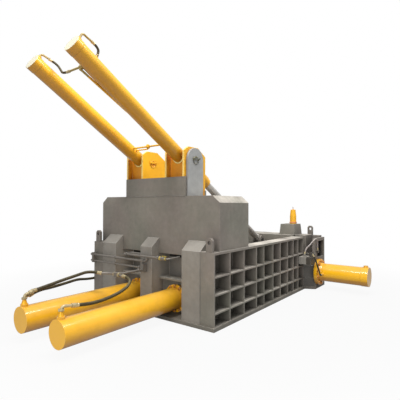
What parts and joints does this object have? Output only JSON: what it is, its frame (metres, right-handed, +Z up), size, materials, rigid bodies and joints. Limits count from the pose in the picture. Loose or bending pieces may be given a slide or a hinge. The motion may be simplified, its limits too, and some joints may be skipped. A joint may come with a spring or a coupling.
{
  "type": "horizontal recycling baler",
  "caption": "Ribbed press box with main rams, a hinged press lid worked by long trunnion-mounted cylinders over a tower, a side ram and a lifting bale gate.",
  "frame": {"origin": "on the floor, in the middle of the press box's length and width", "axes": "+X from the end with the main cylinders towards the bale channel, +Y towards the bale outlet, +Z up"},
  "size_m": [5.465, 3.757, 3.6477],
  "materials": {
    "body_paint": "satin warm grey paint",
    "pale_paint": "satin pale grey paint",
    "yellow_paint": "semi-gloss golden yellow paint",
    "orange_bolts": "orange-brown painted bolt heads",
    "dark_steel": "dark machined steel",
    "rod_chrome": "ground and plated rod",
    "worn_steel": "steel worn by the bale",
    "pipe_steel": "dull drawn tube and fittings",
    "hose_rubber": "dark dusty hose cover"
  },
  "bodies": {
    "root": {"base_frame": "body_paint", "chamber_floor": "worn_steel", "right_side_wall": "body_paint", "left_side_wall": "body_paint", "end_posts": "body_paint", "bulkhead": "body_paint", "cylinder_seats": "body_paint", "lift_lugs": "pale_paint", "tower": "body_paint", "trunnion_shield": "body_paint", "trunnion_lugs": "pale_paint", "bracket_plates": "yellow_paint", "trunnion_keepers": "dark_steel", "hinge_beam": "body_paint", "hinge_pin": "dark_steel", "right_main_barrel": "yellow_paint", "left_main_barrel": "yellow_paint", "main_glands": "dark_steel", "main_bolts": "orange_bolts", "side_frame": "body_paint", "gusset": "body_paint", "side_barrel": "yellow_paint", "side_gland": "dark_steel", "side_bolts": "orange_bolts", "end_wall": "body_paint", "channel_cover": "body_paint", "gate_frame": "body_paint", "gate_barrel": "yellow_paint", "lock_mount": "body_paint", "lock_barrel": "yellow_paint", "end_pipes": "pipe_steel", "cap_fittings": "pipe_steel", "valve_block": "pipe_steel", "left_cap_hose": "hose_rubber", "right_cap_hose": "hose_rubber", "wall_hose": "hose_rubber", "arch_hose": "hose_rubber", "drop_hose": "hose_rubber"},
    "lid": {"lid_panel": "body_paint", "lid_lugs": "body_paint", "rod_pins": "dark_steel"},
    "lid_rods": {"right_lid_rod": "rod_chrome", "left_lid_rod": "rod_chrome"},
    "lid_cylinders": {"right_lid_barrel": "yellow_paint", "left_lid_barrel": "yellow_paint", "lid_glands": "yellow_paint", "right_trunnion_saddle": "yellow_paint", "left_trunnion_saddle": "yellow_paint", "lid_pipes": "pipe_steel", "left_lid_hose": "hose_rubber", "right_lid_hose": "hose_rubber"},
    "main_ram": {"pusher": "worn_steel", "right_main_rod": "rod_chrome", "left_main_rod": "rod_chrome"},
    "side_ram": {"side_ram": "worn_steel", "side_rod": "rod_chrome"},
    "gate": {"gate": "body_paint", "gate_rod": "rod_chrome"},
    "lock_wedge": {"lock_wedge": "worn_steel"},
    "lid_bolt": {"lid_bolt": "worn_steel"}
  },
  "joints": [
    {"name": "lid_hinge", "type": "hinge", "parent": "root", "child": "lid", "pos_m": [-0.68342, 0, 0.95], "axis": [0, -1, 0], "range_deg": [0, 70]},
    {"name": "lid_cylinder_swing", "type": "hinge", "parent": "root", "child": "lid_cylinders", "pos_m": [-1.485, 0, 2.341], "axis": [0, -1, 0], "range_deg": [0, 35]},
    {"name": "lid_rod_swing", "type": "hinge", "parent": "lid", "child": "lid_rods", "pos_m": [0.922, 0, 0.956], "axis": [0, -1, 0], "range_deg": [-35, 0]},
    {"name": "main_ram_slide", "type": "slide", "parent": "root", "child": "main_ram", "axis": [1, 0, 0], "range_m": [0, 1.56]},
    {"name": "side_ram_slide", "type": "slide", "parent": "root", "child": "side_ram", "axis": [0, 1, 0], "range_m": [0, 0.64]},
    {"name": "gate_lift", "type": "slide", "parent": "root", "child": "gate", "axis": [0, 0, 1], "range_m": [0, 0.56]},
    {"name": "lock_wedge_slide", "type": "slide", "parent": "root", "child": "lock_wedge", "axis": [0, 0, 1], "range_m": [-0.08, 0]},
    {"name": "lid_bolt_slide", "type": "slide", "parent": "root", "child": "lid_bolt", "axis": [-1, 0, 0], "range_m": [0, 0.08]}
  ],
  "couplings": [
    {"joint": "lid_cylinder_swing", "follows": "lid_hinge", "ratio": 0.5},
    {"joint": "lid_rod_swing", "follows": "lid_hinge", "ratio": -0.5},
    {"joint": "lid_bolt_slide", "follows": "lock_wedge_slide", "ratio": -1}
  ]
}
